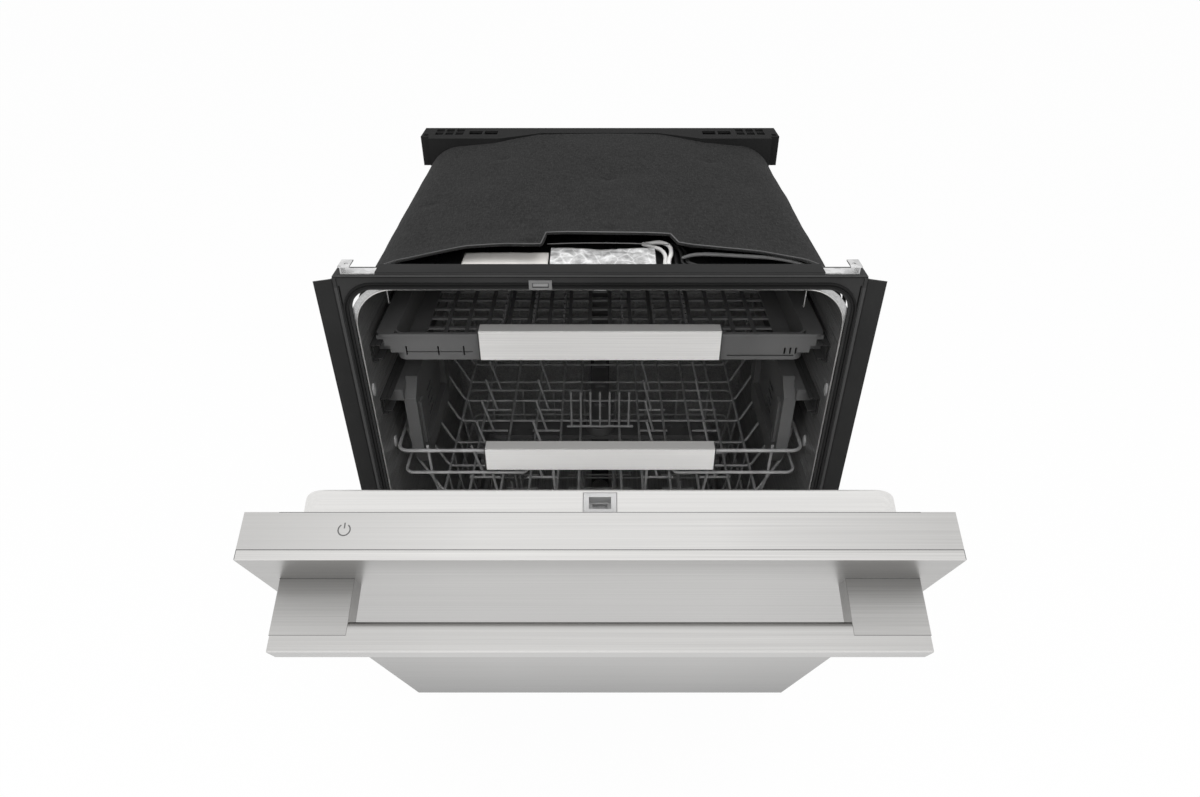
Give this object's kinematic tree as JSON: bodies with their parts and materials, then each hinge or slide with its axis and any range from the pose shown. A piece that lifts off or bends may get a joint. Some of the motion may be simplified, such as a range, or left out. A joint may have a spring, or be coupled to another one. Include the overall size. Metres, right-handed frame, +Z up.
{
  "type": "dishwasher",
  "caption": "Built-in dishwasher with a drop-down stainless door standing part open, bar handle, hidden top controls, dark frame, sliding cutlery tray and wire racks.",
  "frame": {"origin": "on the floor, on the centre line, in the plane of the front frame's face", "axes": "+X to the right for someone facing the door, +Y from the door to the back, +Z up"},
  "size_m": [0.6416, 0.9416, 0.854],
  "materials": {
    "brushed_stainless": "satin",
    "tub_stainless": "satin",
    "galvanised_steel": "matte",
    "frame_plastic": "matte",
    "rack_plastic": "satin",
    "coated_wire": "satin",
    "grey_plastic": "matte",
    "white_plastic": "satin",
    "seal_rubber": "matte",
    "trim_rubber": "matte",
    "felt": "matte",
    "document_film": "gloss",
    "cable_sheath": "satin",
    "spring_steel": "satin"
  },
  "bodies": {
    "cabinet": {"tub": "tub_stainless", "front_frame": "frame_plastic", "tub_gasket": "seal_rubber", "bottom_seal": "seal_rubber", "side_trim_right": "trim_rubber", "side_trim_left": "trim_rubber", "worktop_brackets": "galvanised_steel", "door_pusher": "grey_plastic", "latch_strike": "galvanised_steel", "insulation_blanket": "felt", "rear_brace": "grey_plastic", "document_pouch": "document_film", "wiring_harness": "cable_sheath", "sump": "grey_plastic", "filter_screen": "tub_stainless", "spray_conduit": "grey_plastic", "top_nozzle": "grey_plastic", "circulation_pump": "white_plastic", "drain_pump": "white_plastic", "inlet_valve": "white_plastic", "junction_box": "galvanised_steel", "base_pan": "frame_plastic", "access_panel": "frame_plastic", "hinge_mounts": "galvanised_steel", "door_springs": "spring_steel", "tray_rail_outers": "galvanised_steel", "upper_rail_outers": "galvanised_steel"},
    "filter": {"filter_cup": "grey_plastic"},
    "foot_front_left": {"leg_front_left": "grey_plastic"},
    "foot_front_right": {"leg_front_right": "grey_plastic"},
    "foot_rear_left": {"leg_rear_left": "grey_plastic"},
    "foot_rear_right": {"leg_rear_right": "grey_plastic"},
    "lower_arm": {"lower_spray_arm": "tub_stainless"},
    "door": {"hinge_arms": "galvanised_steel", "door_panel": "brushed_stainless", "control_strip": "brushed_stainless", "door_liner": "tub_stainless", "door_insulation": "felt", "latch_housing": "grey_plastic", "handle_bar": "brushed_stainless", "handle_bracket_right": "brushed_stainless", "handle_bracket_left": "brushed_stainless", "dispenser_body": "grey_plastic"},
    "dispenser_door": {"dispenser_lid": "grey_plastic"},
    "rinse_cap": {"rinse_aid_cap": "rack_plastic"},
    "tray_slides": {"tray_rails": "galvanised_steel"},
    "tray": {"tray_frame": "rack_plastic", "tray_inserts": "rack_plastic", "tray_handle": "brushed_stainless"},
    "upper_slides": {"upper_rails": "galvanised_steel"},
    "upper_carrier": {"height_adjusters": "rack_plastic"},
    "upper_rack": {"upper_basket": "coated_wire", "upper_handle": "brushed_stainless", "upper_spray_feed": "rack_plastic"},
    "upper_arm": {"upper_spray_arm": "rack_plastic"},
    "folding_tines": {"upper_tines": "coated_wire"},
    "lower_rack": {"lower_basket": "coated_wire", "lower_handle": "brushed_stainless"},
    "front_wheels": {"lower_wheels_front": "rack_plastic"},
    "rear_wheels": {"lower_wheels_rear": "rack_plastic"}
  },
  "joints": [
    {"name": "door_hinge", "type": "hinge", "parent": "cabinet", "child": "door", "pos_m": [0, 0.019, 0.165], "axis": [1, 0, 0], "range_deg": [-26.4, 63.6], "deforming": ["door_springs"]},
    {"name": "dispenser_lid_hinge", "type": "hinge", "parent": "door", "child": "dispenser_door", "pos_m": [0.011, -0.07781, 0.38824], "axis": [-1, 0, 0], "range_deg": [0, 100]},
    {"name": "rinse_cap_turn", "type": "hinge", "parent": "door", "child": "rinse_cap", "pos_m": [0.068, -0.11316, 0.45665], "axis": [0, 0.8957, 0.4446], "range_deg": [0, 90]},
    {"name": "filter_turn", "type": "hinge", "parent": "cabinet", "child": "filter", "pos_m": [0.03, 0.275, 0.1], "axis": [0, 0, 1], "range_deg": [0, 45]},
    {"name": "lower_arm_spin", "type": "hinge", "parent": "cabinet", "child": "lower_arm", "pos_m": [0, 0.29, 0.155], "axis": [0, 0, 1], "continuous": true},
    {"name": "tray_slide_outer", "type": "slide", "parent": "cabinet", "child": "tray_slides", "axis": [0, -1, 0], "range_m": [0, 0.22]},
    {"name": "tray_slide_inner", "type": "slide", "parent": "tray_slides", "child": "tray", "axis": [0, -1, 0], "range_m": [0, 0.22]},
    {"name": "upper_slide_outer", "type": "slide", "parent": "cabinet", "child": "upper_slides", "axis": [0, -1, 0], "range_m": [0, 0.17]},
    {"name": "upper_slide_inner", "type": "slide", "parent": "upper_slides", "child": "upper_carrier", "axis": [0, -1, 0], "range_m": [0, 0.17]},
    {"name": "upper_rack_height", "type": "slide", "parent": "upper_carrier", "child": "upper_rack", "axis": [0, 0, -1], "range_m": [0, 0.05]},
    {"name": "upper_arm_spin", "type": "hinge", "parent": "upper_rack", "child": "upper_arm", "pos_m": [0, 0.29, 0.403], "axis": [0, 0, 1], "continuous": true},
    {"name": "tines_fold", "type": "hinge", "parent": "upper_rack", "child": "folding_tines", "pos_m": [0, 0.2615, 0.4345], "axis": [1, 0, 0], "range_deg": [0, 85]},
    {"name": "lower_slide", "type": "slide", "parent": "cabinet", "child": "lower_rack", "axis": [0, -1, 0], "range_m": [0, 0.07]},
    {"name": "front_wheels_roll", "type": "hinge", "parent": "lower_rack", "child": "front_wheels", "pos_m": [0, 0.128, 0.1943], "axis": [1, 0, 0], "range_deg": [0, 290]},
    {"name": "rear_wheels_roll", "type": "hinge", "parent": "lower_rack", "child": "rear_wheels", "pos_m": [0, 0.454, 0.1943], "axis": [1, 0, 0], "range_deg": [0, 290]},
    {"name": "front_left_foot_screw", "type": "slide", "parent": "cabinet", "child": "foot_front_left", "axis": [0, 0, -1], "range_m": [0, 0.04]},
    {"name": "front_right_foot_screw", "type": "slide", "parent": "cabinet", "child": "foot_front_right", "axis": [0, 0, -1], "range_m": [0, 0.04]},
    {"name": "rear_left_foot_screw", "type": "slide", "parent": "cabinet", "child": "foot_rear_left", "axis": [0, 0, -1], "range_m": [0, 0.04]},
    {"name": "rear_right_foot_screw", "type": "slide", "parent": "cabinet", "child": "foot_rear_right", "axis": [0, 0, -1], "range_m": [0, 0.04]}
  ],
  "couplings": [
    {"joint": "front_wheels_roll", "follows": "lower_slide", "rad_per_m": 71.429},
    {"joint": "rear_wheels_roll", "follows": "lower_slide", "rad_per_m": 71.429}
  ]
}
